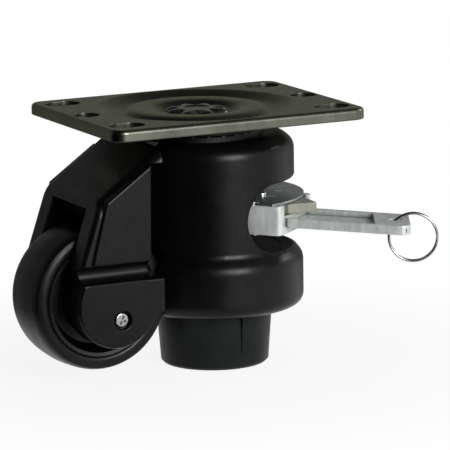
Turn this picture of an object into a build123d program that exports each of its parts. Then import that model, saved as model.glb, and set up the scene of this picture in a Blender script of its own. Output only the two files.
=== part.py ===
"""Levelling castor: slotted top plate, swivelling housing with a fork and a
fixed-side wheel, and a ratchet-driven levelling foot beside the wheel.

Frame: millimetres, +Z up, origin on the swivel axis at the top face of the
plate, +X along the long side of the plate (the wheel is at -X), the foot and
its spindle stand on a second vertical axis a little to the +X side.
"""
import os
from math import cos, hypot, radians, sin

from build123d import *

os.makedirs("parts", exist_ok=True)

# ---- driving sizes ----------------------------------------------------------
plate_len = 95.2
plate_wid = 73.0
plate_t = 4.0
plate_corner_r = 5.0
slot_pitch_x = 77.0
slot_pitch_y = 53.0
slot_len = 12.5
slot_w = 9.0
side_hole_x = 41.3
side_hole_d = 9.0

foot_axis_x = 5.5
barrel_r = 28.4
band_r = 31.2
housing_top = -9.6
housing_bot = -70.5
wheel_x = -42.0
wheel_z = -62.0
wheel_r = 25.0
wheel_half_w = 11.5
fork_inner = 14.0
fork_base = 23.0
fork_face = 24.2
foot_drop = 3.4
floor_z = wheel_z - wheel_r - foot_drop

lever_az = -50.0
thread_pitch = 2.0

# ---- clearances -------------------------------------------------------------
gap = 0.3
run = 0.05
press = 0.01


foot_xz = Plane(origin=(foot_axis_x, 0, 0), x_dir=(1, 0, 0), z_dir=(0, -1, 0))
foot_axis = Axis((foot_axis_x, 0, 0), (0, 0, 1))


def at_axis(z):
    """Plane square to the foot axis at height z, turned with the lever."""
    a = radians(lever_az)
    return Plane(origin=(foot_axis_x, 0, z), x_dir=(cos(a), sin(a), 0), z_dir=(0, 0, 1))


def save(part, name):
    part.label = name
    export_step(part, "parts/" + name + ".step")


# ============================ root: mounting plate ===========================
ball_r = 1.5
track_r = 19.5
ball_z = -7.4
boss_bot = -6.9
kingpin_r = 6.0
recess_r = 13.6
recess_z = -2.5

with BuildPart() as top_plate:
    with BuildSketch(Plane.XY.offset(-plate_t)):
        RectangleRounded(plate_len, plate_wid, plate_corner_r)
    extrude(amount=plate_t)
    top_edges = top_plate.faces().sort_by(Axis.Z)[-1].edges()
    fillet(top_edges, 1.3)
    bottom_edges = top_plate.faces().sort_by(Axis.Z)[0].edges()
    fillet(bottom_edges, 0.5)
    # pressed boss under the plate that carries the upper ball track
    with BuildSketch(Plane.XY.offset(boss_bot)):
        Circle(25.5)
    extrude(amount=-boss_bot - plate_t + 0.5)
    # pressed moat, raised ring and central recess in the top face
    with BuildSketch(Plane.XZ):
        with BuildLine():
            Polyline((0, 1), (0, recess_z), (recess_r - 1.2, recess_z))
            Spline((recess_r - 1.2, recess_z), (recess_r + 0.4, -1.8), (15.6, -0.9),
                   tangents=((1, 0.1), (1, 0.3)))
            Spline((15.6, -0.9), (19.5, -0.45), (23.7, -0.95), tangents=((1, 0.3), (1, -0.4)))
            Spline((23.7, -0.95), (24.9, -1.8), (26.6, -2.2), tangents=((1, -0.7), (1, 0)))
            Spline((26.6, -2.2), (30.4, -1.35), (34.2, 0), (34.8, 0.1),
                   tangents=((1, 0), (1, 0.1)))
            Polyline((34.8, 0.1), (34.8, 1), (0, 1))
        make_face()
    revolve(axis=Axis.Z, mode=Mode.SUBTRACT)
    # ball track
    with BuildSketch(Plane.XZ):
        with Locations((track_r, ball_z)):
            Circle(ball_r + run)
    revolve(axis=Axis.Z, mode=Mode.SUBTRACT)
    with BuildSketch(Plane.XY.offset(-10)):
        Circle(kingpin_r + press)
        with GridLocations(slot_pitch_x, slot_pitch_y, 2, 2):
            SlotOverall(slot_len, slot_w)
        with Locations((-side_hole_x, 0), (side_hole_x, 0)):
            Circle(side_hole_d / 2)
    extrude(amount=12, mode=Mode.SUBTRACT)
save(top_plate.part, "top_plate")

head_top = -0.7
pin_bot = -21.3
nut_top = -16.9
nut_bot = -20.9
with BuildPart() as kingpin:
    with BuildSketch(Plane.XZ):
        with BuildLine():
            Polyline((0, head_top - 0.5), (4.4, head_top - 0.5), (5.2, head_top), (6.6, head_top),
                     (9.4, recess_z + 0.7), (9.4, recess_z + 0.02), (kingpin_r, recess_z + 0.02),
                     (kingpin_r, -15.0), (5.0, -15.4), (5.0, pin_bot), (0, pin_bot), close=True)
        make_face()
    revolve(axis=Axis.Z)
    # clenched petals around the rim of the head
    with BuildSketch(Plane.XY.offset(recess_z + 0.02)):
        with PolarLocations(8.6, 8):
            Circle(2.7)
    extrude(amount=head_top - recess_z - 0.3)
save(kingpin.part, "kingpin")

with BuildPart() as kingpin_washer:
    with BuildSketch(Plane.XY.offset(-16.8)):
        Circle(11.0)
        Circle(kingpin_r + gap, mode=Mode.SUBTRACT)
    extrude(amount=1.2)
save(kingpin_washer.part, "kingpin_washer")

with BuildPart() as kingpin_nut:
    with BuildSketch(Plane.XY.offset(nut_bot)):
        RegularPolygon(8.0, 6, major_radius=False)
        Circle(5.0 + press, mode=Mode.SUBTRACT)
    extrude(amount=nut_top - nut_bot)
    chamfer(kingpin_nut.faces().sort_by(Axis.Z)[0].outer_wire().edges(), 0.6)
save(kingpin_nut.part, "kingpin_nut")

with BuildPart() as swivel_balls:
    with PolarLocations(track_r, 24):
        with Locations((0, 0, ball_z)):
            Sphere(ball_r)
save(swivel_balls.part, "swivel_balls")

# ============================ swivelling housing =============================
chamber_r = 23.4
chamber_top = -21.8
chamber_bot = -49.6
shelf_bot = -52.0
foot_bore_r = 20.5
window_mid = -37.4
window_half = 12.0
window_rim_r = 1.2
slope_top = (foot_axis_x - barrel_r - 1.1, housing_top)
slope_low = (-47.3, -26.4)
cheek_back = slope_top[0] - 4.8
neck_half = 8.0
boss_r = 14.4
boss_top = -53.4
groove_top = boss_top + 6.1
groove_r = (groove_top - boss_top) / 2
groove_mid = boss_top + groove_r - gap
hood_back = housing_top - 5.0
pocket_top = slope_low[1] - 3.0
recess_floor = fork_face - 2.3
screw_x = -40.4
screw_z = -66.8
axle_r = 4.0
axle_near = 20.5
axle_far = 21.8
plate_screw_r = 19.4


def on_window_rim(edge):
    """True for an edge where a wall of the lever window meets the outside of the barrel."""
    points = [edge.position_at(t) for t in (0, 0.25, 0.5, 0.75, 1)]
    round_x = foot_axis_x + window_half
    off_wall = [abs(hypot(min(p.X - round_x, 0), p.Z - window_mid) - window_half) for p in points]
    from_axis = [hypot(p.X - foot_axis_x, p.Y) for p in points]
    return max(off_wall) < 0.02 and min(from_axis) > barrel_r - 0.05


with BuildPart() as housing:
    # barrel
    with BuildSketch(foot_xz):
        with BuildLine():
            Polyline((0, housing_bot), (0, housing_top), (barrel_r - 6.5, housing_top))
            Spline((barrel_r - 6.5, housing_top), (barrel_r - 2.2, housing_top - 1.7),
                   (barrel_r, housing_top - 6.0), tangents=((1, 0), (0, -1)))
            Polyline((barrel_r, housing_top - 6.0), (barrel_r, -48.0))
            Spline((barrel_r, -48.0), (30.1, -51.2), (band_r, -54.5),
                   tangents=((0.05, -1), (0, -1)))
            Polyline((band_r, -54.5), (band_r, housing_bot + 5))
            Spline((band_r, housing_bot + 5), (band_r - 1.6, housing_bot + 1.3),
                   (band_r - 5.5, housing_bot), tangents=((0, -1), (-1, -0.1)))
            Polyline((band_r - 5.5, housing_bot), (0, housing_bot))
        make_face()
    revolve(axis=foot_axis)
    # hood and cheeks over the wheel
    with BuildSketch(Plane.XZ) as side:
        with BuildLine():
            Polyline((cheek_back, hood_back), (slope_top[0], hood_back), slope_top, slope_low,
                     (slope_low[0] - 7.3, groove_top - 0.3), (slope_low[0] - 7.9, groove_top - 1.9),
                     (slope_low[0] - 6.6, boss_top + 0.4), (slope_low[0] - 8.7, boss_top - 5.0),
                     (slope_low[0] - 8.7, wheel_z), (cheek_back, wheel_z), close=True)
        make_face()
    extrude(amount=fork_base, both=True)
    long_top = housing.edges().filter_by(GeomType.LINE).filter_by_position(
        Axis.X, -50, cheek_back, (True, True)).filter_by(
        lambda e: abs(abs(e.center().Y) - fork_base) < 0.01 and abs(e.tangent_at(0.5).Z) > 0.2
        and abs(e.tangent_at(0.5).X) > 0.5)
    fillet(long_top, 4.5)
    front = housing.edges().filter_by(GeomType.LINE).filter_by(
        lambda e: abs(abs(e.center().Y) - fork_base) < 0.6 and e.center().X < -48
        and e.center().Z > -48.5 and e.length > 10)
    fillet(front, 2.0)
    # narrower neck between hood and barrel
    with BuildSketch(Plane.XZ):
        with BuildLine():
            Polyline((-10, housing_top), slope_top, (cheek_back - 1.5, -14.2),
                     (cheek_back - 1.5, wheel_z), (-10, wheel_z), close=True)
        make_face()
    extrude(amount=neck_half, both=True)
    # raised cheek panels
    for side_sign in (-1, 1):
        with BuildSketch(Plane.XZ.offset(-side_sign * (fork_base - 2))):
            with BuildLine():
                Polyline((slope_low[0] + 1.9, slope_low[1] + 0.2),
                         (cheek_back + 0.3, housing_top - 4.8), (cheek_back - 0.4, groove_mid + 1),
                         (slope_low[0] - 4.3, groove_mid + 1), close=True)
            make_face()
        extrude(amount=-side_sign * (fork_face - fork_base + 2))
    panel_edges = housing.edges().filter_by(
        lambda e: abs(abs(e.center().Y) - fork_face) < 0.01)
    fillet(panel_edges, 0.75 * (fork_face - fork_base))
    # axle bosses
    for side_sign in (-1, 1):
        with BuildSketch(Plane.XZ.offset(-side_sign * fork_inner)):
            with Locations((wheel_x, wheel_z)):
                Circle(boss_r)
            with BuildLine():
                Polyline((wheel_x - 12.6, boss_top), (wheel_x + 17.8, boss_top),
                         (wheel_x + 17.8, wheel_z - 3.0), (wheel_x + 12.5, wheel_z - 7.0),
                         (wheel_x, wheel_z - 7.0), (wheel_x - 13.8, wheel_z - 2), close=True)
            make_face()
        extrude(amount=-side_sign * (fork_face + 0.2 - fork_inner))
    boss_edges = housing.edges().filter_by(
        lambda e: abs(abs(e.center().Y) - fork_face - 0.2) < 0.01)
    fillet(boss_edges, 1.0)
    # round-bottomed groove with rounded lips between panel and boss
    for side_sign in (-1, 1):
        with BuildSketch(Plane.YZ.offset(wheel_x - 13.0)):
            with Locations((side_sign * (fork_face - 1.6), groove_mid)):
                Circle(groove_r)
            with Locations((side_sign * (fork_face + 1.4), groove_mid)):
                Rectangle(6.0, 2 * groove_r)
        extrude(amount=31.4, mode=Mode.SUBTRACT)
    lips = housing.edges().filter_by(
        lambda e: abs(abs(e.center().Y) - fork_face) < 0.01
        and abs(e.center().Z - groove_mid - groove_r) < 0.01 and e.length > 10)
    fillet(lips, 0.9)
    # wheel pocket
    with BuildSketch(Plane.XZ):
        with Locations((wheel_x, wheel_z)):
            Circle(wheel_r + 1.3)
        with BuildLine():
            Polyline((wheel_x - 28, pocket_top), (wheel_x + 1, pocket_top),
                     (wheel_x + 12, pocket_top - 8.6), (wheel_x + 12, wheel_z),
                     (wheel_x - 28, wheel_z), close=True)
        make_face()
    extrude(amount=fork_inner, both=True, mode=Mode.SUBTRACT)
    # ratchet chamber, kingpin pocket, foot bore
    with BuildSketch(Plane.XY.offset(chamber_bot)):
        with Locations((foot_axis_x, 0)):
            Circle(chamber_r)
    extrude(amount=chamber_top - chamber_bot, mode=Mode.SUBTRACT)
    with BuildSketch(Plane.XY.offset(chamber_top)):
        Circle(13.2)
    extrude(amount=-chamber_top - 15.4, mode=Mode.SUBTRACT)
    with BuildSketch(Plane.XY.offset(-30)):
        Circle(kingpin_r + gap)
    extrude(amount=25, mode=Mode.SUBTRACT)
    with BuildSketch(Plane.XY.offset(housing_bot - 1)):
        with Locations((foot_axis_x, 0)):
            Circle(foot_bore_r)
    extrude(amount=shelf_bot - housing_bot + 1, mode=Mode.SUBTRACT)
    with BuildSketch(Plane.XY.offset(shelf_bot - 1)):
        with Locations((foot_axis_x, 0)):
            Circle(10.8)
    extrude(amount=5, mode=Mode.SUBTRACT)
    # guide ribs inside the foot bore
    for side_sign in (-1, 1):
        with Locations((foot_axis_x, side_sign * (foot_bore_r - 0.2), (shelf_bot + housing_bot) / 2)):
            Box(1.6, 1.8, shelf_bot - housing_bot - 1.0)
    # lever window through the +X half of the barrel
    with BuildSketch(Plane.XZ):
        with Locations((foot_axis_x + window_half, window_mid)):
            Circle(window_half)
        with Locations((foot_axis_x + window_half + 20, window_mid)):
            Rectangle(40, 2 * window_half)
    extrude(amount=40, both=True, mode=Mode.SUBTRACT)
    fillet(housing.edges().filter_by(on_window_rim), window_rim_r)
    # axle bore (blind on the near side) and lock-screw holes
    with BuildSketch(Plane.XZ.offset(axle_near + 0.1)):
        with Locations((wheel_x, wheel_z)):
            Circle(axle_r + press)
    extrude(amount=-60, mode=Mode.SUBTRACT)
    for side_sign in (-1, 1):
        with BuildSketch(Plane.XZ.offset(-side_sign * 30)):
            with Locations((screw_x, screw_z)):
                Circle(3.4)
        extrude(amount=side_sign * (30 - recess_floor), mode=Mode.SUBTRACT)
        with BuildSketch(Plane.XZ.offset(-side_sign * 30)):
            with Locations((screw_x, screw_z)):
                Circle(1.5 + press)
        extrude(amount=side_sign * (30 - 15.4), mode=Mode.SUBTRACT)
    # tapped holes for the bearing plate screws
    with BuildSketch(Plane.XY.offset(chamber_top - 1)):
        with Locations((foot_axis_x, plate_screw_r), (foot_axis_x, -plate_screw_r)):
            Circle(1.5 + press)
    extrude(amount=7.5, mode=Mode.SUBTRACT)
save(housing.part, "housing")

race_top = -7.9
with BuildPart() as swivel_race:
    with BuildSketch(Plane.XY.offset(housing_top + 0.01)):
        Circle(22.6)
        Circle(16.0, mode=Mode.SUBTRACT)
    extrude(amount=race_top - housing_top)
    with BuildSketch(Plane.XZ):
        with Locations((track_r, ball_z)):
            Circle(ball_r + run)
    revolve(axis=Axis.Z, mode=Mode.SUBTRACT)
save(swivel_race.part, "swivel_race")

bearing_bot = -24.6
with BuildPart() as bearing_plate:
    with BuildSketch(Plane.XY.offset(bearing_bot)):
        with Locations((foot_axis_x, 0)):
            Circle(chamber_r - 0.02)
            Circle(5.0 + run, mode=Mode.SUBTRACT)
            with Locations((0, plate_screw_r), (0, -plate_screw_r)):
                Circle(1.5 + press, mode=Mode.SUBTRACT)
    extrude(amount=chamber_top - 0.02 - bearing_bot)
save(bearing_plate.part, "bearing_plate")

with BuildPart() as plate_screws:
    with BuildSketch(Plane.XY.offset(bearing_bot - 1.5)):
        with Locations((foot_axis_x, plate_screw_r), (foot_axis_x, -plate_screw_r)):
            Circle(2.7)
    extrude(amount=1.49)
    with BuildSketch(Plane.XY.offset(bearing_bot - 1.0)):
        with Locations((foot_axis_x, plate_screw_r), (foot_axis_x, -plate_screw_r)):
            Circle(1.5)
    extrude(amount=8.8)
    with BuildSketch(Plane.XY.offset(bearing_bot - 1.6)):
        with Locations((foot_axis_x, plate_screw_r), (foot_axis_x, -plate_screw_r)):
            Rectangle(3.2, 0.6)
            Rectangle(0.6, 3.2)
    extrude(amount=0.8, mode=Mode.SUBTRACT)
save(plate_screws.part, "plate_screws")

# ============================ axle and wheel =================================
with BuildPart() as axle:
    with BuildSketch(Plane.XZ.offset(axle_near)):
        with Locations((wheel_x, wheel_z)):
            Circle(axle_r)
    extrude(amount=-axle_near - axle_far)
    chamfer(axle.edges().filter_by(GeomType.CIRCLE), 0.4)
    for side_sign in (-1, 1):
        with BuildSketch(Plane.XZ.offset(-side_sign * 30)):
            with Locations((screw_x, screw_z)):
                Circle(1.5 + 0.1)
        extrude(amount=side_sign * (30 - 15.2), mode=Mode.SUBTRACT)
save(axle.part, "axle")

head_in = recess_floor + 0.02
with BuildPart() as axle_screws:
    for side_sign in (-1, 1):
        with BuildSketch(Plane.XZ.offset(-side_sign * head_in)):
            with Locations((screw_x, screw_z)):
                Circle(2.5)
        extrude(amount=-side_sign * 1.7)
        with BuildSketch(Plane.XZ.offset(-side_sign * 15.5)):
            with Locations((screw_x, screw_z)):
                Circle(1.5)
        extrude(amount=-side_sign * 7.0)
    rims = axle_screws.edges().filter_by(GeomType.CIRCLE).filter_by(
        lambda e: abs(abs(e.center().Y) - head_in - 1.7) < 0.01)
    fillet(rims, 0.6)
    for side_sign in (-1, 1):
        with Locations((screw_x, side_sign * (head_in + 1.6), screw_z)):
            Box(3.2, 1.6, 0.7, rotation=(0, 25, 0), mode=Mode.SUBTRACT)
            Box(0.7, 1.6, 3.2, rotation=(0, 25, 0), mode=Mode.SUBTRACT)
save(axle_screws.part, "axle_screws")

sleeve_r = 5.6
with BuildPart() as wheel_sleeve:
    with BuildSketch(Plane.XZ):
        with Locations((wheel_x, wheel_z)):
            Circle(sleeve_r)
            Circle(axle_r + run, mode=Mode.SUBTRACT)
    extrude(amount=fork_inner - 0.05, both=True)
save(wheel_sleeve.part, "wheel_sleeve")

with BuildPart() as axle_washers:
    for side_sign in (-1, 1):
        with BuildSketch(Plane.XZ.offset(-side_sign * (fork_inner - 1.05))):
            with Locations((wheel_x, wheel_z)):
                Circle(8.6)
                Circle(sleeve_r + 0.02, mode=Mode.SUBTRACT)
        extrude(amount=-side_sign * 0.99)
save(axle_washers.part, "axle_washers")

bush_flange = wheel_half_w + 0.12
with BuildPart() as wheel_bushes:
    for side_sign in (-1, 1):
        with BuildSketch(Plane.XZ.offset(-side_sign * 4.5)):
            with Locations((wheel_x, wheel_z)):
                Circle(8.0)
        extrude(amount=-side_sign * (bush_flange - 4.02))
        with BuildSketch(Plane.XZ.offset(-side_sign * bush_flange)):
            with Locations((wheel_x, wheel_z)):
                Circle(9.6)
        extrude(amount=-side_sign * (fork_inner - 1.2 - bush_flange))
    with BuildSketch(Plane.XZ):
        with Locations((wheel_x, wheel_z)):
            Circle(sleeve_r + run)
    extrude(amount=20, both=True, mode=Mode.SUBTRACT)
save(wheel_bushes.part, "wheel_bushes")

wheel_axis = Axis((wheel_x, 0, wheel_z), (0, 1, 0))
wheel_yz = Plane(origin=(wheel_x, 0, wheel_z), x_dir=(0, 1, 0), z_dir=(1, 0, 0))
rim_r = wheel_r - 5.5
core_half = wheel_half_w + 0.1
core_side = [(core_half, 8.0 + press), (core_half, 10.6), (core_half - 0.8, 11.4), (6.0, 12.2),
             (5.0, 13.0), (5.0, rim_r - 3.5), (6.2, rim_r - 2.3), (core_half - 0.6, rim_r - 1.3),
             (core_half - 0.4, rim_r - 0.01)]
with BuildPart() as wheel_core:
    with BuildSketch(wheel_yz):
        with BuildLine():
            Polyline(*core_side, *[(-y, r) for y, r in reversed(core_side)], close=True)
        make_face()
    revolve(axis=wheel_axis)
save(wheel_core.part, "wheel_core")

tread_in = wheel_half_w - 0.7
tread_edge = wheel_half_w - 0.6
with BuildPart() as wheel_tread:
    with BuildSketch(wheel_yz):
        with BuildLine():
            Polyline((-tread_in, rim_r), (tread_in, rim_r))
            Spline((tread_in, rim_r), (wheel_half_w, rim_r + 1.9), (tread_edge, wheel_r - 1.4),
                   tangents=((1, 0.6), (-0.5, 1)))
            Spline((tread_edge, wheel_r - 1.4), (6.0, wheel_r - 0.3), (0, wheel_r),
                   (-6.0, wheel_r - 0.3), (-tread_edge, wheel_r - 1.4),
                   tangents=((-1, 0.6), (-1, -0.6)))
            Spline((-tread_edge, wheel_r - 1.4), (-wheel_half_w, rim_r + 1.9), (-tread_in, rim_r),
                   tangents=((-0.5, -1), (1, -0.6)))
        make_face()
    revolve(axis=wheel_axis)
save(wheel_tread.part, "wheel_tread")

# ============================ levelling spindle ==============================
hub_r = 8.5
gear_r = 14.2
gear_teeth = 24
thread_r = 6.0
thread_top = -45.0
pad_r = 15.0
foot_bot = floor_z + gap
thread_bot = foot_bot + 9.2 + foot_drop
with BuildPart() as spindle:
    with BuildSketch(foot_xz):
        with BuildLine():
            Polyline((0, -22.0), (4.5, -22.0), (5.0, -22.5), (5.0, -26.0), (9.5, -26.0),
                     (9.5, -29.6), (6.4, -29.6), (6.4, thread_top), (5.2, thread_top - 0.4),
                     (5.2, thread_bot + 1), (4.4, thread_bot), (0, thread_bot), close=True)
        make_face()
    revolve(axis=foot_axis)
    with BuildSketch(foot_xz):
        turns = int((thread_top - thread_bot - 3) / thread_pitch)
        for i in range(turns):
            z = thread_top - 1.4 - i * thread_pitch
            with BuildLine():
                Polyline((5.0, z), (thread_r, z - 0.7), (thread_r, z - 1.0), (5.0, z - 1.7),
                         close=True)
            make_face()
    revolve(axis=foot_axis)
    with BuildSketch(Plane.XY.offset(-42.5)):
        with Locations((foot_axis_x, 0)):
            RegularPolygon(6.7, 6, major_radius=False)
    extrude(amount=42.5 - 29.6)
save(spindle.part, "spindle")

with BuildPart() as thrust_washer:
    with BuildSketch(Plane.XY.offset(-25.97)):
        with Locations((foot_axis_x, 0)):
            Circle(9.5)
            Circle(5.0 + run, mode=Mode.SUBTRACT)
    extrude(amount=1.34)
save(thrust_washer.part, "thrust_washer")

with BuildPart() as ratchet_gear:
    with BuildSketch(Plane.XY.offset(-42.4)):
        with Locations((foot_axis_x, 0)):
            Circle(hub_r)
    extrude(amount=42.4 - 30.2)
    with BuildSketch(at_axis(-40.3)):
        Circle(gear_r)
        with PolarLocations(gear_r + 0.1, gear_teeth, start_angle=360 / gear_teeth / 2):
            RegularPolygon(1.3, 3, rotation=180, mode=Mode.SUBTRACT)
    extrude(amount=7.7)
    with BuildSketch(Plane.XY.offset(-43)):
        with Locations((foot_axis_x, 0)):
            RegularPolygon(6.7 + press, 6, major_radius=False)
    extrude(amount=14, mode=Mode.SUBTRACT)
save(ratchet_gear.part, "ratchet_gear")

with BuildPart() as retaining_ring:
    with BuildSketch(Plane.XY.offset(-43.6)):
        with Locations((foot_axis_x, 0)):
            Circle(9.6)
            Circle(6.4 + press, mode=Mode.SUBTRACT)
            with Locations((-8, 0)):
                Rectangle(6, 2.2, mode=Mode.SUBTRACT)
    extrude(amount=1.05)
save(retaining_ring.part, "retaining_ring")

# ============================ foot ===========================================
foot_top = -56.0 - foot_drop
foot_top_r = 20.1
foot_bot_r = 18.7
nut_r = 10.0
with BuildPart() as foot:
    with BuildSketch(foot_xz):
        with BuildLine():
            Polyline((thread_r + 0.6, foot_top - 10), (thread_r + 0.6, foot_bot + 4.6),
                     (0, foot_bot + 4.6), (0, foot_bot + 2.0), (pad_r, foot_bot + 2.0),
                     (pad_r, foot_bot), (foot_bot_r - 0.9, foot_bot), (foot_bot_r, foot_bot + 0.9),
                     (foot_top_r, housing_bot), (foot_top_r, foot_top), (nut_r, foot_top),
                     (nut_r, foot_top - 10), close=True)
        make_face()
    revolve(axis=foot_axis)
    for side_sign in (-1, 1):
        with Locations((foot_axis_x, side_sign * (foot_bot_r + 2.05), (foot_top + foot_bot) / 2)):
            Box(2.3, 4.0, foot_top - foot_bot + 2, mode=Mode.SUBTRACT)
save(foot.part, "foot")

with BuildPart() as foot_nut:
    with BuildSketch(Plane.XY.offset(foot_top - 9.98)):
        with Locations((foot_axis_x, 0)):
            Circle(nut_r - press)
            Circle(thread_r + run, mode=Mode.SUBTRACT)
    extrude(amount=9.8)
save(foot_nut.part, "foot_nut")

with BuildPart() as foot_pad:
    with BuildSketch(Plane.XY.offset(floor_z)):
        with Locations((foot_axis_x, 0)):
            Circle(pad_r - press)
    extrude(amount=foot_bot + 1.99 - floor_z)
    fillet(foot_pad.faces().sort_by(Axis.Z)[0].edges(), 0.2)
save(foot_pad.part, "foot_pad")

# ============================ ratchet lever ==================================
head_half = 14.0
head_front = 31.5
head_bot = -42.0
head_top_z = -32.0
arm_half = 10.2
arm_bot = -39.6
arm_top = -36.4
sheet = 1.2
pin_u = 21.5
hole_u = 67.9
arm_outline = [(head_front - 1, -arm_half), (hole_u + 9.6, -arm_half), (hole_u + 0.6, arm_half),
               (head_front - 1, arm_half)]
with BuildPart() as ratchet_lever:
    with BuildSketch(at_axis(head_bot)):
        with Locations((head_front / 2 + 2, 0)):
            RectangleRounded(head_front - 4, 2 * head_half, 2.0)
            RectangleRounded(head_front - 4 - 2.6, 2 * head_half - 2.6, 0.8, mode=Mode.SUBTRACT)
        with Locations((0, 0)):
            Circle(16.5, mode=Mode.SUBTRACT)
    extrude(amount=head_top_z - head_bot)
    with BuildSketch(at_axis(head_bot)):
        with Locations((head_front / 2 + 2, 0)):
            RectangleRounded(head_front - 4, 2 * head_half, 2.0)
        Circle(16.6)
        Circle(hub_r + run, mode=Mode.SUBTRACT)
        with Locations((pin_u, 0)):
            Circle(2.0 + press, mode=Mode.SUBTRACT)
        with Locations((20, -11), (20, 11)):
            Circle(1.2 + press, mode=Mode.SUBTRACT)
    extrude(amount=1.2)
    # selector slot in the front wall
    with BuildSketch(at_axis(-35.9)):
        with Locations((head_front, 0)):
            Rectangle(6, 21)
    extrude(amount=10, mode=Mode.SUBTRACT)
    # trough-shaped arm
    with BuildSketch(at_axis(arm_bot)):
        with BuildLine():
            Polyline(*arm_outline, close=True)
        make_face()
        fillet(vertices().group_by(Axis.Y)[0], 3.2)
    extrude(amount=arm_top - arm_bot)
    with BuildSketch(at_axis(arm_bot + sheet)):
        with BuildLine():
            Polyline((head_front, -arm_half + sheet), (hole_u - 3.9, -arm_half + sheet),
                     (hole_u - 11.9, arm_half - sheet), (head_front, arm_half - sheet), close=True)
        make_face()
    extrude(amount=10, mode=Mode.SUBTRACT)
    with BuildSketch(at_axis(arm_bot - 1)):
        with BuildLine():
            Polyline((hole_u - 2.5, -arm_half + sheet), (hole_u + 7.6, -arm_half + sheet),
                     (hole_u - 0.3, arm_half - sheet), (hole_u - 10.5, arm_half - sheet), close=True)
        make_face()
    extrude(amount=arm_top - sheet - arm_bot + 1, mode=Mode.SUBTRACT)
    with BuildSketch(at_axis(arm_bot - 1)):
        with Locations((hole_u, 0)):
            Circle(2.3)
    extrude(amount=10, mode=Mode.SUBTRACT)
save(ratchet_lever.part, "ratchet_lever")

cover_top = -31.2
dome_u = 17.8
dome_v = 1.6
cover_r = 31.6
with BuildPart() as cover_plate:
    with BuildSketch(at_axis(head_top_z + 0.01)):
        Circle(20.5)
        with BuildLine():
            Line((0, 0), (cover_r * cos(radians(-26)), cover_r * sin(radians(-26))))
            CenterArc((0, 0), cover_r, -26, 88)
            Line((cover_r * cos(radians(62)), cover_r * sin(radians(62))), (0, 0))
        make_face()
        Circle(hub_r + run, mode=Mode.SUBTRACT)
        with Locations((pin_u, 0)):
            Circle(2.0 + press, mode=Mode.SUBTRACT)
        with Locations((20, -11), (20, 11)):
            Circle(1.2 + press, mode=Mode.SUBTRACT)
        with Locations((dome_u, dome_v)):
            Circle(0.8 + press, mode=Mode.SUBTRACT)
    extrude(amount=cover_top - head_top_z)
save(cover_plate.part, "cover_plate")

with BuildPart() as cover_rivets:
    with BuildSketch(at_axis(head_bot - 0.4)):
        with Locations((20, -11), (20, 11)):
            Circle(1.2)
    extrude(amount=cover_top - head_bot + 0.4)
    with BuildSketch(at_axis(head_bot - 0.6)):
        with Locations((20, -11), (20, 11)):
            Circle(1.9)
    extrude(amount=0.58)
    # domed rivet on the cover
    with BuildSketch(at_axis(head_top_z - 0.15)):
        with Locations((dome_u, dome_v)):
            Circle(0.8)
    extrude(amount=cover_top - head_top_z + 0.3)
    with BuildSketch(at_axis(cover_top + 0.02)):
        with Locations((dome_u, dome_v)):
            Circle(1.7)
    extrude(amount=1.3)
    dome_rim = cover_rivets.faces().sort_by(Axis.Z)[-1].edges()
    fillet(dome_rim, 1.0)
save(cover_rivets.part, "cover_rivets")

with BuildPart() as selector_pin:
    with BuildSketch(at_axis(head_bot - 0.3)):
        with Locations((pin_u, 0)):
            Circle(2.0)
    extrude(amount=cover_top - head_bot + 0.3)
save(selector_pin.part, "selector_pin")

# ============================ selector and pawl ==============================
selector_turn = 3.0
with BuildPart() as selector:
    with BuildSketch(at_axis(-35.4)):
        with Locations(Location((pin_u, 0, 0), (0, 0, selector_turn))):
            Polygon((-5.4, -7.5), (9.6, -7.5), (17.1, 0), (9.6, 7.5), (-5.4, 7.5), align=None)
            Circle(2.0 + run, mode=Mode.SUBTRACT)
    extrude(amount=3.1)
save(selector.part, "selector")

with BuildPart() as pawl:
    with BuildSketch(at_axis(-40.3)):
        with Locations(Location((pin_u, 0, 0), (0, 0, selector_turn))):
            with Locations((-pin_u, 0)):
                Circle(19.0)
                Circle(15.4, mode=Mode.SUBTRACT)
            with Locations((-0.5, 0)):
                Rectangle(17.0, 16.0, mode=Mode.INTERSECT)
    extrude(amount=4.3)
    with BuildSketch(at_axis(-40.3)):
        with Locations(Location((pin_u, 0, 0), (0, 0, selector_turn))):
            Circle(4.4)
    extrude(amount=4.3)
    with BuildSketch(at_axis(-41)):
        with Locations((pin_u, 0)):
            Circle(2.0 + run)
    extrude(amount=10, mode=Mode.SUBTRACT)
save(pawl.part, "pawl")

# ============================ split ring =====================================
ring_r = 8.2
wire_r = 0.45
a = radians(lever_az)
b = radians(-26.0)
ring_c = (foot_axis_x + hole_u * cos(a) + 5.9 * cos(b), hole_u * sin(a) + 5.9 * sin(b), -36.8 - 5.7)
ring_dir = (sin(b), -cos(b), 0)
with BuildPart() as split_ring:
    for k in (-1, 1):
        origin = (ring_c[0] + k * 0.46 * ring_dir[0], ring_c[1] + k * 0.46 * ring_dir[1], ring_c[2])
        with Locations(Plane(origin=origin, x_dir=(0, 0, 1), z_dir=ring_dir)):
            Torus(ring_r, wire_r)
    with Locations((ring_c[0] + ring_r * cos(b), ring_c[1] + ring_r * sin(b), ring_c[2])):
        Box(0.9, 0.9, 1.6, rotation=(0, 0, -26.0))
save(split_ring.part, "split_ring")
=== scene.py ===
import math

import bpy
import numpy as np
from bpy.props import FloatProperty, FloatVectorProperty, IntProperty, PointerProperty
from mathutils import Matrix, Vector


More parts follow.
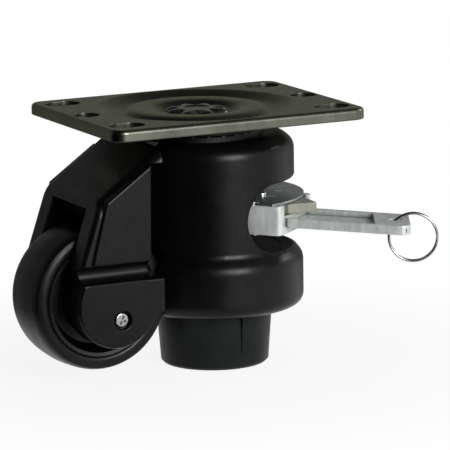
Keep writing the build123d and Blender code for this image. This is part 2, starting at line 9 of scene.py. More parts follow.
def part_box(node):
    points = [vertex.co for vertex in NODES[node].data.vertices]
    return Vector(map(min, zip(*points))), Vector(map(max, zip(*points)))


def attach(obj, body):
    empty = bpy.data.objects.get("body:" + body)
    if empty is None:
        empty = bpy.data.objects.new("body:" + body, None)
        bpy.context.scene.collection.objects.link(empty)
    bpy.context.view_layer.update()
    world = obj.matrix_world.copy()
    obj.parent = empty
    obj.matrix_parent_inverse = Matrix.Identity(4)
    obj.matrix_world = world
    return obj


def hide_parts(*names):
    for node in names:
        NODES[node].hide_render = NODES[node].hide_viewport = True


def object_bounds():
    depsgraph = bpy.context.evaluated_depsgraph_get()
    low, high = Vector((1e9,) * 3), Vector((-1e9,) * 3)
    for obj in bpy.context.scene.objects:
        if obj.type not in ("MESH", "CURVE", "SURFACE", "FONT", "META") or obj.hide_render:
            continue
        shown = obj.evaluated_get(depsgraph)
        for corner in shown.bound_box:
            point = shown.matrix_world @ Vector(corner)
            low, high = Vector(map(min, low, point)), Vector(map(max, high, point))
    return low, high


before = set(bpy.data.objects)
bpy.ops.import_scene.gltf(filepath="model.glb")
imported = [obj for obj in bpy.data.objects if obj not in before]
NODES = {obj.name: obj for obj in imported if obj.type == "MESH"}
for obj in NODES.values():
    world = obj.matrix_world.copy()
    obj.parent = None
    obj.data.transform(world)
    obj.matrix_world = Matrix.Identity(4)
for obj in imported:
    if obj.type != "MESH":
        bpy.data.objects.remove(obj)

bl_info = {
    "name": "Levelling castor",
    "version": (1, 0, 0),
    "blender": (4, 5, 0),
    "location": "View3D > Sidebar > Castor",
    "description": "Finishes a levelling castor: plate, housing, wheel, foot, lever and key ring",
    "category": "Object",
}

CAD_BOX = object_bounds()
MM = 0.001
FOOT_X = (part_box("foot")[0].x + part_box("foot")[1].x) / 2


# ---- sizes and colours a user would change ----------------------------------
def colour(name, description, default):
    """One linear RGB colour property."""
    return FloatVectorProperty(name=name, description=description, default=default,
                               subtype="COLOR", size=3, min=0.0, max=1.0)


def length(name, description, default):
    """One length property, in metres."""
    return FloatProperty(name=name, description=description, default=default,
                         unit="LENGTH", min=0.0)


class CastorSizes(bpy.types.PropertyGroup):
    """Sizes of the pieces made here, in metres."""

    head_r: length("Pin head radius", "Radius of the kingpin head between its petals", 9.4 * MM)
    petal_reach: length("Petal reach", "How far a clenched petal stands past the head", 1.8 * MM)
    petals: IntProperty(name="Petals", description="Clenched petals round the kingpin head",
                        default=8, min=3)
    wire_r: length("Wire radius", "Radius of the key ring's wire", 0.45 * MM)
    edge_round: length("Edge rounding", "Radius to which the casting's edges look worn", 0.7 * MM)


class CastorColours(bpy.types.PropertyGroup):
    """Base colours of the finishes."""

    casting: colour("Casting", "Black satin coat of the housing", (0.0018, 0.0018, 0.0019))
    plate: colour("Plate", "Dark baked coat of the top plate", (0.112, 0.116, 0.092))
    tread: colour("Tread", "Black tyre of the wheel", (0.003, 0.003, 0.0031))
    foot: colour("Foot", "Black moulded foot", (0.008, 0.0095, 0.009))
    steel: colour("Plated steel", "Bright plating of the lever and screws", (0.60, 0.63, 0.61))
    cover: colour("Cover steel", "Grey pressed cover over the ratchet", (0.42, 0.45, 0.445))
    selector: colour("Selector", "Pale cast selector", (0.29, 0.29, 0.235))


class CastorView(bpy.types.PropertyGroup):
    """Where the camera stands."""

    azimuth: FloatProperty(name="Azimuth", description="Camera's turn round the castor",
                           default=math.radians(-26.09), subtype="ANGLE")
    elevation: FloatProperty(name="Elevation", description="Camera's height over the horizon",
                             default=math.radians(10.94), subtype="ANGLE")
    roll: FloatProperty(name="Roll", description="Camera's tilt about its own axis",
                        default=math.radians(-0.88), subtype="ANGLE")
    distance: FloatProperty(name="Distance", description="From the camera to its target",
                            default=1.35376, unit="LENGTH")
    target: FloatVectorProperty(name="Target", description="Point in the middle of the picture",
                                default=(0.0047895, -0.0111034, -0.0406927), subtype="XYZ")
    lens: FloatProperty(name="Lens", description="Focal length in millimetres on a 36 mm sensor",
                        default=315.46)


# ---- meshes from grids -------------------------------------------------------
def grid_piece(name, points, close_u=False, close_v=False):
    """An object from a grid of points (n, m, 3): quads join each point to the next along both
    directions, and wrap round where a direction is closed. A row whose points all coincide is a
    pole: its doubles are merged, so its quads become triangles."""
    n, m = points.shape[:2]
    i, j = np.meshgrid(np.arange(n if close_u else n - 1), np.arange(m if close_v else m - 1),
                       indexing="ij")
    i2, j2 = (i + 1) % n, (j + 1) % m
    quads = np.stack([i * m + j, i2 * m + j, i2 * m + j2, i * m + j2], axis=-1).reshape(-1, 4)
    flat = points.reshape(-1, 3)
    _, first, back = np.unique(np.round(flat / 1e-8).astype(np.int64), axis=0,
                               return_index=True, return_inverse=True)
    quads = back.reshape(-1)[quads]
    mesh = bpy.data.meshes.new(name)
    faces = [tuple(dict.fromkeys(q)) for q in quads.tolist()]
    mesh.from_pydata(flat[first].tolist(), [], [f for f in faces if len(f) > 2])
    mesh.polygons.foreach_set("use_smooth", np.ones(len(mesh.polygons), bool))
    mesh.update()
    piece = bpy.data.objects.new(name, mesh)
    bpy.context.scene.collection.objects.link(piece)
    return piece


def revolve(profile, count, swell):
    """Points of a profile (r, z) carried round the vertical axis: r times the cosine and sine of
    the angle. swell(r, z, angle) returns the changed r and z at every point."""
    angle = np.linspace(0.0, 2 * np.pi, count, endpoint=False)[:, None]
    r, z = profile[None, :, 0] + 0 * angle, profile[None, :, 1] + 0 * angle
    r, z = swell(r, z, angle)
    return np.stack([r * np.cos(angle), r * np.sin(angle), z], axis=-1)


def dense(corners, step):
    """A polyline's points at most step apart, every corner kept."""
    corners = np.asarray(corners, float)
    runs = [np.linspace(a, b, max(2, int(np.ceil(np.hypot(*(b - a)) / step)) + 1))[:-1]
            for a, b in zip(corners[:-1], corners[1:])]
    return np.vstack(runs + [corners[-1:]])


def tube(path, radius, sides):
    """A tube round a path (n, 3): at each point a circle of that radius, in the plane square to
    the path, carried along without twist from the path's own mean plane."""
    tangent = np.gradient(path, axis=0)
    tangent /= np.linalg.norm(tangent, axis=1, keepdims=True)
    centre = path.mean(axis=0)
    normal = np.linalg.svd(path - centre)[2][2]
    side = np.cross(tangent, normal)
    side /= np.linalg.norm(side, axis=1, keepdims=True)
    top = np.cross(side, tangent)
    angle = np.linspace(0.0, 2 * np.pi, sides, endpoint=False)
    cos, sin = np.cos(angle)[None, :, None], np.sin(angle)[None, :, None]
    ring = cos * side[:, None] + sin * top[:, None]
    return path[:, None] + radius[:, None, None] * ring


def outward(piece):
    """Turns the faces of a closed piece outwards: the signed volume is made positive."""
    mesh = piece.data
    mesh.calc_loop_triangles()
    co = np.empty(len(mesh.vertices) * 3)
    mesh.vertices.foreach_get("co", co)
    tri = np.empty(len(mesh.loop_triangles) * 3, int)
    mesh.loop_triangles.foreach_get("vertices", tri)
    a, b, c = np.moveaxis(co.reshape(-1, 3)[tri.reshape(-1, 3)], 1, 0)
    if np.einsum("ij,ij->", a, np.cross(b, c)) < 0:
        mesh.flip_normals()
    return piece


# ---- short ways to add maths nodes ---------------------------------------------
def two(tree, operation, first, second, value=0.0):
    """The output of a maths node on two sources, or on one source and a value."""
    node = tree.nodes.new("ShaderNodeMath")
    node.operation = operation
    tree.links.new(first, node.inputs[0])
    if second is None:
        node.inputs[1].default_value = value
    else:
        tree.links.new(second, node.inputs[1])
    return node.outputs[0]


def ranged(tree, source, start, end, low, high):
    """A smooth step from low to high as the source goes from start to end."""
    node = tree.nodes.new("ShaderNodeMapRange")
    node.interpolation_type = "SMOOTHSTEP"
    for key, value in (("From Min", start), ("From Max", end), ("To Min", low), ("To Max", high)):
        node.inputs[key].default_value = value
    tree.links.new(source, node.inputs["Value"])
    return node.outputs[0]


# ---- finishes ----------------------------------------------------------------
NOISE_SPAN = (0.3, 0.7)          # the values between which noise mostly stays
CORNER, OPEN = 0.25, 0.9         # how much sky deep corners and open faces see, for the shade painted into corners
# the soft borders of the ratchet chamber: its radius round the foot's axis, top and bottom
CHAMBER_R = (27.2 * MM, 28.2 * MM)
CHAMBER_TOP = (-20.0 * MM, -17.0 * MM)
CHAMBER_BOTTOM = (-52.0 * MM, -50.5 * MM)


class Finish:
    """A material's node tree, with short ways to add the nodes used here."""

    def __init__(self, name, base, roughness, metallic=0.0, specular=0.5):
        self.material = bpy.data.materials.new(name)
        self.material.use_nodes = True
        self.tree = self.material.node_tree
        self.tree.nodes.clear()
        self.shader = self.add("ShaderNodeBsdfPrincipled")
        self.base, self.roughness = base, roughness
        self.shader.inputs["Base Color"].default_value = (*base, 1.0)
        self.shader.inputs["Roughness"].default_value = roughness
        self.shader.inputs["Metallic"].default_value = metallic
        self.shader.inputs["Specular IOR Level"].default_value = specular
        output = self.add("ShaderNodeOutputMaterial")
        self.join(self.shader.outputs["BSDF"], output.inputs["Surface"])
        self.place = self.add("ShaderNodeTexCoord").outputs["Object"]
        self.normal = None

    def add(self, kind):
        return self.tree.nodes.new(kind)

    def join(self, source, target):
        self.tree.links.new(source, target)

    def noise(self, size, detail=3.0, stretch=(1.0, 1.0, 1.0), turn=(0.0, 0.0, 0.0)):
        """Noise whose spots are about size metres across, longer where stretch is over 1."""
        mapping = self.add("ShaderNodeMapping")
        mapping.inputs["Rotation"].default_value = turn
        mapping.inputs["Scale"].default_value = [1.0 / (size * s) for s in stretch]
        self.join(self.place, mapping.inputs["Vector"])
        noise = self.add("ShaderNodeTexNoise")
        noise.inputs["Scale"].default_value = 1.0
        noise.inputs["Detail"].default_value = detail
        self.join(mapping.outputs[0], noise.inputs["Vector"])
        return noise.outputs[0]

    def tint(self, source, low, high):
        """The base colour runs from low to high times itself as the source rises."""
        ramp = self.add("ShaderNodeValToRGB")
        for element, at, factor in zip(ramp.color_ramp.elements, NOISE_SPAN, (low, high)):
            element.position = at
            element.color = (*(min(1.0, c * factor) for c in self.base), 1.0)
        self.join(source, ramp.inputs[0])
        self.join(ramp.outputs[0], self.shader.inputs["Base Color"])

    def paint_corner_shade(self, reach, darkest):
        """Painted shade: the base colour falls to darkest times itself deep in corners and
        channels, up to reach metres from the facing wall, where shade would fall."""
        shade = self.add("ShaderNodeAmbientOcclusion")
        shade.samples = 8
        shade.only_local = True
        shade.inputs["Distance"].default_value = reach
        self.shade(ranged(self.tree, shade.outputs["AO"], CORNER, OPEN, darkest, 1.0))

    def shade(self, share):
        """The base colour so far is multiplied by this share, which paints shade into it."""
        mix = self.add("ShaderNodeMix")
        mix.data_type, mix.blend_type = "RGBA", "MULTIPLY"
        mix.inputs[0].default_value = 1.0
        self.join(self.shader.inputs["Base Color"].links[0].from_socket, mix.inputs[6])
        self.join(share, mix.inputs[7])
        self.join(mix.outputs[2], self.shader.inputs["Base Color"])

    def polish(self, source, spread):
        """The roughness wanders by spread each side of its mean with the source, and the socket
        that drives it is returned."""
        node = self.add("ShaderNodeMapRange")
        node.inputs["From Min"].default_value, node.inputs["From Max"].default_value = NOISE_SPAN
        node.inputs["To Min"].default_value = self.roughness - spread
        node.inputs["To Max"].default_value = self.roughness + spread
        self.join(source, node.inputs[0])
        self.join(node.outputs[0], self.shader.inputs["Roughness"])
        return node.outputs[0]

    def soften(self, radius):
        """Edges look rounded to this radius."""
        bevel = self.add("ShaderNodeBevel")
        bevel.samples = 6
        bevel.inputs["Radius"].default_value = radius
        self.normal = bevel.outputs[0]
        self.join(self.normal, self.shader.inputs["Normal"])

    def relief(self, source, height):
        """The source raises the surface by height metres where it is 1."""
        bump = self.add("ShaderNodeBump")
        bump.inputs["Strength"].default_value = 1.0
        bump.inputs["Distance"].default_value = height
        self.join(source, bump.inputs["Height"])
        if self.normal is not None:
            self.join(self.normal, bump.inputs["Normal"])
        self.normal = bump.outputs[0]
        self.join(self.normal, self.shader.inputs["Normal"])


def satin_coat(name, base, roughness, specular, edge=0.0, bare_inside=False):
    """Sprayed or moulded black: fine orange peel, slow drift in gloss and a little in colour. With
    bare_inside the ratchet chamber, a cylinder round the foot's axis, is left rough as cast."""
    finish = Finish(name, base, roughness, specular=specular)
    if edge:
        finish.soften(edge)
    finish.tint(finish.noise(9 * MM), 0.82, 1.25)
    sheen = finish.polish(finish.noise(5 * MM, 4.0), 0.05)
    if bare_inside:
        rough = two(finish.tree, "MAXIMUM", sheen, chamber(finish))
        finish.join(rough, finish.shader.inputs["Roughness"])
    finish.relief(finish.noise(0.35 * MM, 2.0), 0.012 * MM)
    return finish.material


def chamber(finish):
    """1 in the ratchet chamber, which lies near the foot's axis and between two heights, and 0
    outside it, with soft borders."""
    level = finish.add("ShaderNodeVectorMath")
    level.operation = "MULTIPLY_ADD"
    level.inputs[1].default_value = (1.0, 1.0, 0.0)
    level.inputs[2].default_value = (-FOOT_X, 0.0, 0.0)
    reach = finish.add("ShaderNodeVectorMath")
    reach.operation = "LENGTH"
    height = finish.add("ShaderNodeSeparateXYZ")
    finish.join(finish.place, level.inputs[0])
    finish.join(finish.place, height.inputs[0])
    finish.join(level.outputs[0], reach.inputs[0])
    near = ranged(finish.tree, reach.outputs["Value"], *CHAMBER_R, 1.0, 0.0)
    under = ranged(finish.tree, height.outputs["Z"], *CHAMBER_TOP, 1.0, 0.0)
    over = ranged(finish.tree, height.outputs["Z"], *CHAMBER_BOTTOM, 0.0, 1.0)
    return two(finish.tree, "MULTIPLY", near, two(finish.tree, "MULTIPLY", under, over))


def brushed(name, base, roughness, stretch=(1, 1, 1), turn=(0.0, 0.0, 0.0), edge=0.0):
    """Plated or rolled steel: fine brush lines along the stretched direction, or an even grain
    without one, and soft blotches."""
    finish = Finish(name, base, roughness, metallic=1.0)
    if edge:
        finish.soften(edge)
    lines = finish.noise(0.16 * MM, 2.0, stretch, turn)
    finish.tint(finish.noise(4 * MM, 4.0), 0.86, 1.1)
    finish.polish(lines, 0.07)
    finish.relief(lines, 0.006 * MM)
    return finish.material


def dress(node, material):
    """A CAD node keeps its shape and takes this material."""
    piece = NODES[node]
    for index in range(max(1, len(piece.material_slots))):
        if index >= len(piece.material_slots):
            piece.data.materials.append(material)
        piece.material_slots[index].material = material


def fit_out(piece, material, body, node):
    """A new piece takes its material, rides on its body and stands for this CAD node."""
    piece.data.materials.append(material)
    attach(piece, body)
    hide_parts(node)


# ---- operators: one for each piece or group of like pieces ----------------------
class PieceOperator(bpy.types.Operator):
    """What every operator here shares."""

    bl_options = {"REGISTER", "UNDO"}

    def execute(self, context):
        scene = context.scene
        self.make(scene.castor_sizes, scene.castor_colours, scene.castor_view)
        return {"FINISHED"}


class CASTOR_OT_plate(PieceOperator):
    """Coats the pressed top plate and finishes the balls and race under it"""

    bl_idname = "castor.plate"
    bl_label = "Top plate"

    def make(self, sizes, colours, view):
        painted_shade_heights = (-5.0 * MM, -4.4 * MM)  # heights between which shade is painted on the plate's underside: the coat darkens
        coat = Finish("plate_coat", colours.plate, 0.31, metallic=1.0)
        coat.shader.inputs["Specular Tint"].default_value = (1.0, 1.0, 0.8, 1.0)
        coat.soften(0.3 * MM)
        coat.tint(coat.noise(14 * MM, 4.0), 0.85, 1.2)
        height = coat.add("ShaderNodeSeparateXYZ")
        coat.join(coat.place, height.inputs[0])
        # painted shade: under the plate the coat's colour falls to a tenth
        coat.shade(ranged(coat.tree, height.outputs["Z"], *painted_shade_heights, 0.1, 1.0))
        coat.polish(coat.noise(3 * MM, 5.0), 0.04)
        coat.relief(coat.noise(0.8 * MM, 2.0), 0.004 * MM)
        dress("top_plate", coat.material)
        dress("swivel_balls", brushed("ball_steel_finish", (0.6, 0.6, 0.6), 0.16))
        # painted shade: the race, bearing plate and washers under the plate are coloured near
        # black for the shade there
        dark = brushed("painted_shade_steel_finish", (0.02, 0.02, 0.02), 0.45)
        for node in ("swivel_race", "bearing_plate", "kingpin_washer", "thrust_washer"):
            dress(node, dark)


class CASTOR_OT_kingpin(PieceOperator):
    """Makes the kingpin with its clenched, petalled head"""

    bl_idname = "castor.kingpin"
    bl_label = "Kingpin"

    def make(self, sizes, colours, view):
        """The head's outline is its radius plus the petal reach times a rounded cosine of the
        petal count, and each petal is domed towards its middle; below the head the pin is a
        plain turned profile."""
        low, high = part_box("kingpin")
        top, rim = high.z, sizes.head_r
        seat = top - 1.8 * MM
        # the head's lower lip, the radius where its petals start, and how deep they part
        lip, root, valley = seat + 0.02 * MM, 5.2 * MM, 0.75 * MM
        # under 1 the petals are blunt; over 1 their valleys are deepest before the rim
        blunt, early = 0.7, 1.8
        around = 192  # points round the pin
        head = dense([(0.0, top - 0.55 * MM), (4.2 * MM, top - 0.5 * MM),
                      (5.0 * MM, top - 0.12 * MM), (5.7 * MM, top), (6.7 * MM, top - 0.02 * MM),
                      (8.2 * MM, top - 0.3 * MM), (rim - 0.4 * MM, top - 0.8 * MM),
                      (rim, top - 1.3 * MM), (rim, lip)], 0.35 * MM)
        shank = dense([(6.0 * MM, lip), (6.0 * MM, -15.0 * MM), (5.0 * MM, -15.4 * MM),
                       (5.0 * MM, low.z + 0.5 * MM), (4.5 * MM, low.z), (0.0, low.z)], 2.5 * MM)
        profile = np.vstack([head, shank])
        is_head = (np.arange(len(profile)) < len(head))[None, :]

        def petals(r, z, angle):
            wave = np.clip(0.5 + 0.5 * np.cos(sizes.petals * angle), 0, 1) ** blunt
            share = np.clip((r - root) / (rim - root), 0, 1) * is_head
            dip = valley * (1 - wave) * np.clip(share * early, 0, 1) * (z > seat + 0.1 * MM)
            floor = np.minimum(z, seat + 0.05 * MM)
            return r + share * sizes.petal_reach * wave, np.maximum(z - dip, floor)

        points = revolve(profile, around, petals)
        pin = outward(grid_piece("kingpin_turned", points, close_u=True))
        steel = brushed("pin_steel", (0.16, 0.16, 0.14), 0.26)
        fit_out(pin, steel, "mount", "kingpin")
        dress("kingpin_nut", brushed("nut_steel", (0.5, 0.5, 0.5), 0.3))


class CASTOR_OT_housing(PieceOperator):
    """Coats the swivelling housing in black satin and finishes its screws"""

    bl_idname = "castor.housing"
    bl_label = "Housing"

    def make(self, sizes, colours, view):
        coat = satin_coat("casting_coat", colours.casting, 0.32, 0.20, sizes.edge_round,
                          bare_inside=True)
        dress("housing", coat)
        bright = brushed("screw_steel", (0.42, 0.44, 0.43), 0.24)
        for node in ("axle_screws", "plate_screws", "axle"):
            dress(node, bright)


class CASTOR_OT_wheel(PieceOperator):
    """Finishes the wheel: tyre, core, bushes, sleeve and washers"""

    bl_idname = "castor.wheel"
    bl_label = "Wheel"

    def make(self, sizes, colours, view):
        dress("wheel_tread", satin_coat("tread_finish", colours.tread, 0.34, 0.20))
        dress("wheel_core", satin_coat("core_finish", colours.tread, 0.4, 0.35, 0.3 * MM))
        pale = Finish("bush_finish", (0.55, 0.54, 0.5), 0.42)
        pale.tint(pale.noise(3 * MM), 0.92, 1.06)
        pale.relief(pale.noise(0.4 * MM), 0.01 * MM)
        for node in ("wheel_bushes", "axle_washers"):
            dress(node, pale.material)
        dress("wheel_sleeve", brushed("sleeve_steel", (0.5, 0.5, 0.5), 0.3))


class CASTOR_OT_foot(PieceOperator):
    """Finishes the levelling foot, its pad, its nut and the spindle above it"""

    bl_idname = "castor.foot"
    bl_label = "Foot"

    def make(self, sizes, colours, view):
        dress("foot", satin_coat("foot_finish", colours.foot, 0.42, 0.11, 0.3 * MM))
        rubber = Finish("pad_finish", (0.02, 0.02, 0.02), 0.75, specular=0.3)
        rubber.tint(rubber.noise(4 * MM), 0.8, 1.3)
        rubber.relief(rubber.noise(0.25 * MM, 4.0), 0.03 * MM)
        dress("foot_pad", rubber.material)
        dress("foot_nut", brushed("nut_brass", (0.62, 0.44, 0.18), 0.3))
        dress("spindle", brushed("spindle_steel", (0.5, 0.5, 0.5), 0.3, (1, 1, 8)))
        for node in ("ratchet_gear", "retaining_ring", "pawl"):
            dress(node, brushed(node + "_steel", (0.25, 0.25, 0.25), 0.38, (1, 1, 4)))


class CASTOR_OT_lever(PieceOperator):
    """Finishes the ratchet lever, its cover, rivets, pin and selector"""

    bl_idname = "castor.lever"
    bl_label = "Ratchet lever"

    def make(self, sizes, colours, view):
        slant = (0.0, 0.0, math.radians(50.0))
        zinc = Finish("lever_plating", colours.steel, 0.34, metallic=0.3)
        zinc.soften(0.5 * MM)
        lines = zinc.noise(0.2 * MM, 2.0, (1, 1, 12))
        zinc.tint(zinc.noise(2.5 * MM, 4.0, (1, 1, 3)), 0.8, 1.15)
        # painted shade: the plating's colour darkens in its corners and along its channel
        zinc.paint_corner_shade(2.2 * MM, 0.25)
        zinc.polish(lines, 0.06)
        zinc.relief(lines, 0.01 * MM)
        dress("ratchet_lever", zinc.material)
        cover = brushed("cover_plating", colours.cover, 0.38, (12, 1, 1), slant, 0.2 * MM)
        dress("cover_plate", cover)
        for node in ("cover_rivets", "selector_pin"):
            dress(node, brushed(node + "_steel", colours.steel, 0.2, edge=0.3 * MM))
        pale = Finish("selector_finish", colours.selector, 0.4, metallic=0.35)
        pale.soften(0.25 * MM)
        pale.tint(pale.noise(2.5 * MM, 4.0), 0.85, 1.1)
        pale.polish(pale.noise(1.2 * MM), 0.06)
        pale.relief(pale.noise(0.3 * MM), 0.01 * MM)
        dress("selector", pale.material)


class CASTOR_OT_ring(PieceOperator):
    """Winds the split key ring that hangs in the lever's end"""

    bl_idname = "castor.ring"
    bl_label = "Key ring"

    def make(self, sizes, colours, view):
        """The wire runs just under two turns of a circle, one turn each side of the ring's
        middle plane; a smooth step across one twentieth of a turn carries it from the first
        side to the second, and the wire narrows to a point over its last radius."""
        low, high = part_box("split_ring")
        middle = np.array((low + high) / 2)
        # where the wire starts, ends and changes sides, in turns, and its points
        start, end, half_step, count = 0.035, 1.965, 0.025, 361
        turn = math.radians(-26.0)
        across = np.array([math.cos(turn), math.sin(turn), 0.0])
        normal = np.array([math.sin(turn), -math.cos(turn), 0.0])
        radius = (high.z - low.z) / 2 - sizes.wire_r
        t = np.linspace(start, end, count)
        angle = 2 * np.pi * t
        # how far each turn stands from the middle plane, and the wire's sides
        spread, sides = 1.03 * sizes.wire_r, 14
        step = np.clip((t - 1.0) / half_step, -1, 1)
        offset = spread * np.sin(step * np.pi / 2)
        path = (middle + radius * (np.cos(angle)[:, None] * across
                                   + np.sin(angle)[:, None] * np.array([0, 0, 1.0]))
                + offset[:, None] * normal)
        pitch = 2 * np.pi * radius * (end - start) / (count - 1)
        along = np.minimum(np.arange(count), np.arange(count)[::-1]) * pitch
        taper = np.sqrt(np.clip(1 - np.clip(1 - along / sizes.wire_r, 0, 1) ** 2, 0, 1))
        wire = tube(path, sizes.wire_r * taper, sides)
        ring = outward(grid_piece("key_ring", wire, close_v=True))
        fit_out(ring, brushed("ring_plating", (0.36, 0.35, 0.34), 0.2),
                "ring", "split_ring")


# ---- the room ----------------------------------------------------------------
# the softboxes: name, place (right, towards the camera and up from the target, in metres), width
# in metres and power in watts
LAMPS = (("shoulder_softbox", (0.50, 0.82, 0.28), 0.42, 8.6),
         ("side_softbox", (0.78, -0.38, 0.50), 0.30, 2.0))
# the room's bright sides: degrees to the right of the camera, the cosines off that direction
# where the light starts and is full, and how bright it gets
BRIGHT_SIDES = ((78.0, 0.25, 0.80, 1.0), (200.0, 0.0, 0.5, 0.21))
FILL = 0.30              # the room's light on matt surfaces
PAPER = 0.82             # the floor's diffuse colour
FLOOR_DROP = 0.2 * MM    # from the castor's lowest point to the floor
FLOOR_REACH = 6.0        # half the floor's width, in metres
SENSOR = 36.0            # the camera's sensor, in millimetres


def seen_directly(tree, path):
    """1 where a ray comes from the camera or goes through glass, and 0 otherwise."""
    return two(tree, "MAXIMUM", path.outputs["Is Camera Ray"], path.outputs["Is Transmission Ray"])


def room_gloss(tree, place, back):
    """How bright the room is in gloss. The place is turned level and made a direction, and each
    bright side lights the directions near its own: the first is to the camera's right, and the
    second, fainter, is behind the castor. The camera's left stays dark."""
    level = tree.nodes.new("ShaderNodeVectorMath")
    level.operation = "MULTIPLY"
    level.inputs[1].default_value = (1.0, 1.0, 0.0)
    tree.links.new(place, level.inputs[0])
    unit = tree.nodes.new("ShaderNodeVectorMath")
    unit.operation = "NORMALIZE"
    tree.links.new(level.outputs[0], unit.inputs[0])
    sides = []
    for angle, start, end, bright in BRIGHT_SIDES:
        turn = math.atan2(back.y, back.x) + math.radians(angle)
        facing = tree.nodes.new("ShaderNodeVectorMath")
        facing.operation = "DOT_PRODUCT"
        facing.inputs[1].default_value = (math.cos(turn), math.sin(turn), 0.0)
        tree.links.new(unit.outputs[0], facing.inputs[0])
        sides.append(ranged(tree, facing.outputs["Value"], start, end, 0.0, bright))
    return two(tree, "MAXIMUM", *sides)


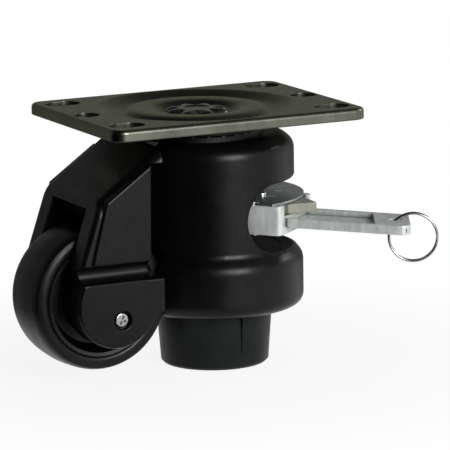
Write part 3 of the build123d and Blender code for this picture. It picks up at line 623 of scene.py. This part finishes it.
class CASTOR_OT_stage(PieceOperator):
    """Lays the floor, sets the world and the lamps, and places the camera"""

    bl_idname = "castor.stage"
    bl_label = "Stage"

    def make(self, sizes, colours, view):
        back, right, up = self.axes(view)
        self.floor(CAD_BOX[0].z - FLOOR_DROP, back)
        self.world(back)
        target = Vector(view.target)
        for name, place, width, power in LAMPS:
            self.lamp(name, target, place, (right, back), width, power)
        camera = bpy.data.objects.new("castor_camera", bpy.data.cameras.new("castor_camera"))
        camera.data.lens, camera.data.sensor_width = view.lens, SENSOR
        turn = Matrix((right, up, back)).transposed().to_4x4()
        turn.translation = target + back * view.distance
        camera.matrix_world = turn
        bpy.context.scene.collection.objects.link(camera)
        bpy.context.scene.camera = camera
        bpy.context.scene.view_settings.view_transform = "Standard"

    def axes(self, view):
        """The camera's back, right and up directions from its three angles."""
        a, e, roll = view.azimuth, view.elevation, view.roll
        back = Vector((math.sin(a) * math.cos(e), -math.cos(a) * math.cos(e), math.sin(e)))
        level = Vector((math.cos(a), math.sin(a), 0.0))
        upright = back.cross(level)
        right = level * math.cos(roll) + upright * math.sin(roll)
        return back, right, back.cross(right)

    def floor(self, z, back):
        """A wide pale floor at height z. Seen directly it is white, less a faint shadow near the
        castor; in gloss it is bright round the castor, and as bright as the room further off."""
        # how far from the middle the shadow and the near gloss fade, in metres
        shadowed, lit = (0.10, 0.20), (0.10, 0.17)
        mesh = bpy.data.meshes.new("floor")
        corners = [(x * FLOOR_REACH, y * FLOOR_REACH, z)
                   for x, y in ((-1, -1), (1, -1), (1, 1), (-1, 1))]
        mesh.from_pydata(corners, [], [(0, 1, 2, 3)])
        floor = bpy.data.objects.new("floor", mesh)
        bpy.context.scene.collection.objects.link(floor)
        material = bpy.data.materials.new("floor_paper")
        material.use_nodes = True
        tree = material.node_tree
        tree.nodes.clear()
        paper = tree.nodes.new("ShaderNodeBsdfDiffuse")
        paper.inputs["Color"].default_value = (PAPER, PAPER, PAPER, 1.0)
        white = tree.nodes.new("ShaderNodeEmission")
        white.inputs["Color"].default_value = (1.0, 1.0, 1.0, 1.0)
        mirrored = tree.nodes.new("ShaderNodeEmission")
        place = tree.nodes.new("ShaderNodeTexCoord").outputs["Object"]
        far = tree.nodes.new("ShaderNodeVectorMath")
        far.operation = "LENGTH"
        tree.links.new(place, far.inputs[0])
        path = tree.nodes.new("ShaderNodeLightPath")
        near = ranged(tree, far.outputs["Value"], *shadowed, 0.88, 1.0)
        direct = two(tree, "MULTIPLY", seen_directly(tree, path), near)
        close = ranged(tree, far.outputs["Value"], *lit, 0.9, 0.0)
        gleam = two(tree, "MAXIMUM", room_gloss(tree, place, back), close)
        tree.links.new(gleam, mirrored.inputs["Color"])
        seen, gloss = (tree.nodes.new("ShaderNodeMixShader") for _ in range(2))
        tree.links.new(direct, seen.inputs[0])
        tree.links.new(paper.outputs[0], seen.inputs[1])
        tree.links.new(white.outputs[0], seen.inputs[2])
        tree.links.new(path.outputs["Is Glossy Ray"], gloss.inputs[0])
        tree.links.new(seen.outputs[0], gloss.inputs[1])
        tree.links.new(mirrored.outputs[0], gloss.inputs[2])
        output = tree.nodes.new("ShaderNodeOutputMaterial")
        tree.links.new(gloss.outputs[0], output.inputs["Surface"])
        mesh.materials.append(material)

    def world(self, back):
        """White where it is seen directly or through glass, dim all round for diffuse light, and
        in gloss bright on the room's bright sides, less so overhead, and dark elsewhere."""
        world = bpy.data.worlds.new("studio")
        world.use_nodes = True
        tree = world.node_tree
        tree.nodes.clear()
        room = tree.nodes.new("ShaderNodeBackground")
        place = tree.nodes.new("ShaderNodeTexCoord").outputs["Generated"]
        path = tree.nodes.new("ShaderNodeLightPath")
        dim = two(tree, "MULTIPLY", path.outputs["Is Diffuse Ray"], None, FILL)
        height = tree.nodes.new("ShaderNodeSeparateXYZ")
        tree.links.new(place, height.inputs[0])
        low = ranged(tree, height.outputs["Z"], 0.3, 0.8, 1.0, 0.15)
        gloss = two(tree, "MULTIPLY", path.outputs["Is Glossy Ray"],
                    two(tree, "MULTIPLY", room_gloss(tree, place, back), low))
        light = two(tree, "MAXIMUM", seen_directly(tree, path), two(tree, "MAXIMUM", dim, gloss))
        tree.links.new(light, room.inputs["Color"])
        output = tree.nodes.new("ShaderNodeOutputWorld")
        tree.links.new(room.outputs[0], output.inputs["Surface"])
        bpy.context.scene.world = world

    def lamp(self, name, target, place, axes, width, power):
        """A square lamp aimed at the target, and placed from it to the right, towards the camera
        and up."""
        right, back = axes
        towards = Vector((back.x, back.y, 0.0)).normalized()
        across = Vector((right.x, right.y, 0.0)).normalized()
        spot = target + across * place[0] + towards * place[1] + Vector((0, 0, place[2]))
        data = bpy.data.lights.new(name, "AREA")
        data.shape, data.size, data.energy = "SQUARE", width, power
        lamp = bpy.data.objects.new(name, data)
        lamp.rotation_mode = "QUATERNION"
        lamp.rotation_quaternion = (target - spot).to_track_quat("-Z", "Y")
        lamp.location = spot
        bpy.context.scene.collection.objects.link(lamp)


OPERATORS = (CASTOR_OT_plate, CASTOR_OT_kingpin, CASTOR_OT_housing, CASTOR_OT_wheel,
             CASTOR_OT_foot, CASTOR_OT_lever, CASTOR_OT_ring, CASTOR_OT_stage)


class CASTOR_PT_panel(bpy.types.Panel):
    """Lists the castor's pieces and its sizes and colours"""

    bl_idname = "CASTOR_PT_panel"
    bl_label = "Levelling castor"
    bl_space_type = "VIEW_3D"
    bl_region_type = "UI"
    bl_category = "Castor"

    def draw(self, context):
        column = self.layout.column()
        for operator in OPERATORS:
            column.operator(operator.bl_idname, text=operator.bl_label)
        for group in (context.scene.castor_sizes, context.scene.castor_colours,
                      context.scene.castor_view):
            for key in group.__annotations__:
                column.prop(group, key)


GROUPS = {"castor_sizes": CastorSizes, "castor_colours": CastorColours, "castor_view": CastorView}
CLASSES = (*GROUPS.values(), *OPERATORS, CASTOR_PT_panel)


def register():
    for cls in CLASSES:
        bpy.utils.register_class(cls)
    for name, group in GROUPS.items():
        setattr(bpy.types.Scene, name, PointerProperty(type=group))


def unregister():
    for name in GROUPS:
        delattr(bpy.types.Scene, name)
    for cls in reversed(CLASSES):
        bpy.utils.unregister_class(cls)


def main():
    register()
    for operator in OPERATORS:
        group, name = operator.bl_idname.split(".")
        if getattr(getattr(bpy.ops, group), name)() != {"FINISHED"}:
            raise RuntimeError("could not make " + operator.bl_label)


if __name__ == "__main__":
    main()
